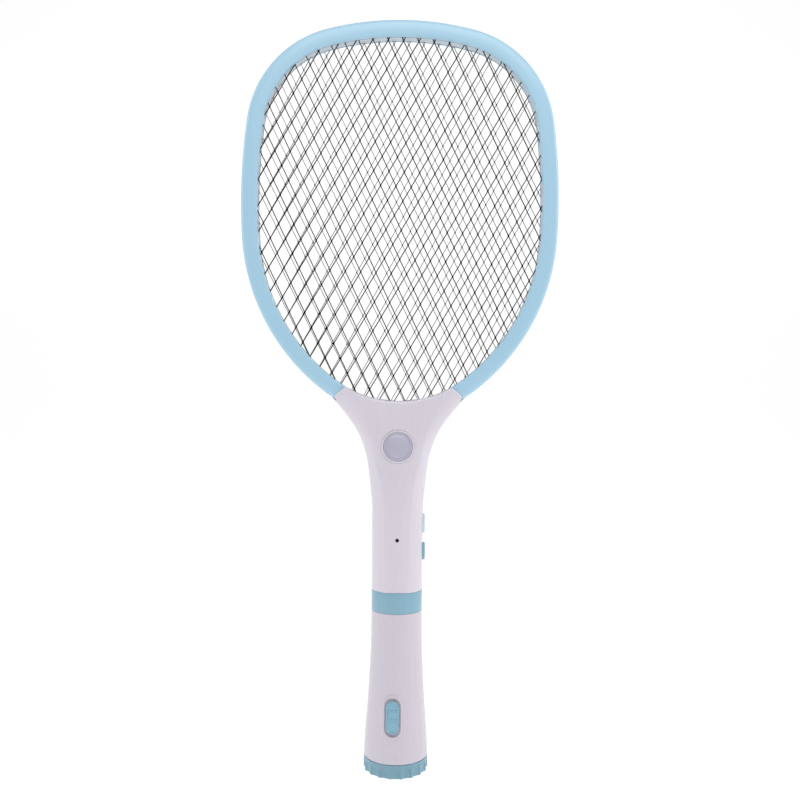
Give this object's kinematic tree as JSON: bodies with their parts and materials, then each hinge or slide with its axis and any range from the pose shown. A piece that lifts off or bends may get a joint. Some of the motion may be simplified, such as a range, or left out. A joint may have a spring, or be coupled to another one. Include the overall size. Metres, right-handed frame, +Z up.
{
  "type": "electric fly swatter",
  "caption": "Racket-shaped insect swatter: oval frame with two live nets, a flared handle with a neck light and side controls, and a pull-off torch as the lower grip.",
  "frame": {"origin": "centre of the tail cap's flat bottom face", "axes": "+Z up the handle to the head, -Y out of the front, +X to the side that carries the controls"},
  "size_m": [0.2044, 0.0414, 0.482],
  "materials": {
    "frame_blue": "smooth satin moulding, pale blue",
    "white_insulator": "plain moulded",
    "net_steel": "dark expanded metal",
    "screw_steel": "zinc plated",
    "handle_white": "smooth satin moulding, near white",
    "frosted_lens": "frosted",
    "clear_lens": "clear polished",
    "chromed_plastic": "bright vacuum plated",
    "circuit_board": "solder-masked laminate",
    "clear_lamp": "clear resin",
    "dark_lamp": "tinted resin",
    "ferrite": "sintered",
    "copper_winding": "enamelled wire",
    "capacitor_case": "dipped resin",
    "component_black": "moulded",
    "resistor_ceramic": "lacquered",
    "button_pale": "smooth moulded",
    "control_blue": "smooth moulded, mid blue",
    "contact_brass": "stamped",
    "lead_red": "insulated wire",
    "lead_black": "insulated wire",
    "head_grey": "moulded",
    "cell_wrap": "printed-free sleeve"
  },
  "bodies": {
    "torch": {"torch_body": "handle_white", "torch_switch_body": "component_black", "torch_collar": "control_blue", "torch_head": "head_grey", "torch_lens": "clear_lens", "torch_reflector": "chromed_plastic", "torch_led_board": "circuit_board", "torch_led": "clear_lamp", "torch_pins": "contact_brass", "battery_carrier": "component_black", "battery_cells": "cell_wrap", "carrier_contacts": "contact_brass", "torch_plate": "head_grey", "torch_leads": "lead_red"},
    "racket": {"front_ring": "frame_blue", "rear_ring": "frame_blue", "net_spacer": "white_insulator", "front_net": "net_steel", "rear_net": "net_steel", "ring_screws": "screw_steel", "front_handle_shell": "handle_white", "rear_handle_shell": "handle_white", "handle_screws": "screw_steel", "light_bezel": "handle_white", "light_lens": "frosted_lens", "light_reflector": "chromed_plastic", "light_board": "circuit_board", "light_leds": "clear_lamp", "main_board": "circuit_board", "transformer_core": "ferrite", "transformer_winding": "copper_winding", "capacitors": "capacitor_case", "diodes": "component_black", "resistors": "resistor_ceramic", "transistor": "component_black", "indicator_led": "dark_lamp", "button_switch": "component_black", "power_switch_body": "component_black", "dock_plate": "white_insulator", "dock_contacts": "contact_brass", "front_net_lead": "lead_red", "rear_net_lead": "lead_black"},
    "button": {"push_button": "button_pale"},
    "power_switch": {"power_slider": "control_blue"},
    "torch_switch": {"torch_slider": "control_blue"},
    "tail_contact": {"tail_spring": "screw_steel", "tail_contact": "contact_brass"},
    "tail_cap": {"tail_cap": "control_blue"}
  },
  "joints": [
    {"name": "racket_lift", "type": "slide", "parent": "torch", "child": "racket", "axis": [0, 0, 1], "range_m": [0, 0.03]},
    {"name": "zap_button_press", "type": "slide", "parent": "racket", "child": "button", "axis": [-1, 0, 0], "range_m": [0, 0.001], "stiffness_N_per_m": 900, "springref_m": -0.0004},
    {"name": "power_switch_slide", "type": "slide", "parent": "racket", "child": "power_switch", "axis": [0, 0, 1], "range_m": [0, 0.003]},
    {"name": "torch_switch_slide", "type": "slide", "parent": "torch", "child": "torch_switch", "axis": [0.0077, 0.0676, 0.9977], "range_m": [-0.0015, 0.0015]},
    {"name": "tail_cap_travel", "type": "slide", "parent": "torch", "child": "tail_contact", "axis": [0, 0, -1], "range_m": [0, 0.004]},
    {"name": "tail_cap_turn", "type": "hinge", "parent": "tail_contact", "child": "tail_cap", "pos_m": [0, 0, 0], "axis": [0, 0, -1], "range_deg": [0, 720]}
  ],
  "couplings": [
    {"joint": "tail_cap_turn", "follows": "tail_cap_travel", "rad_per_m": 3141.6}
  ]
}
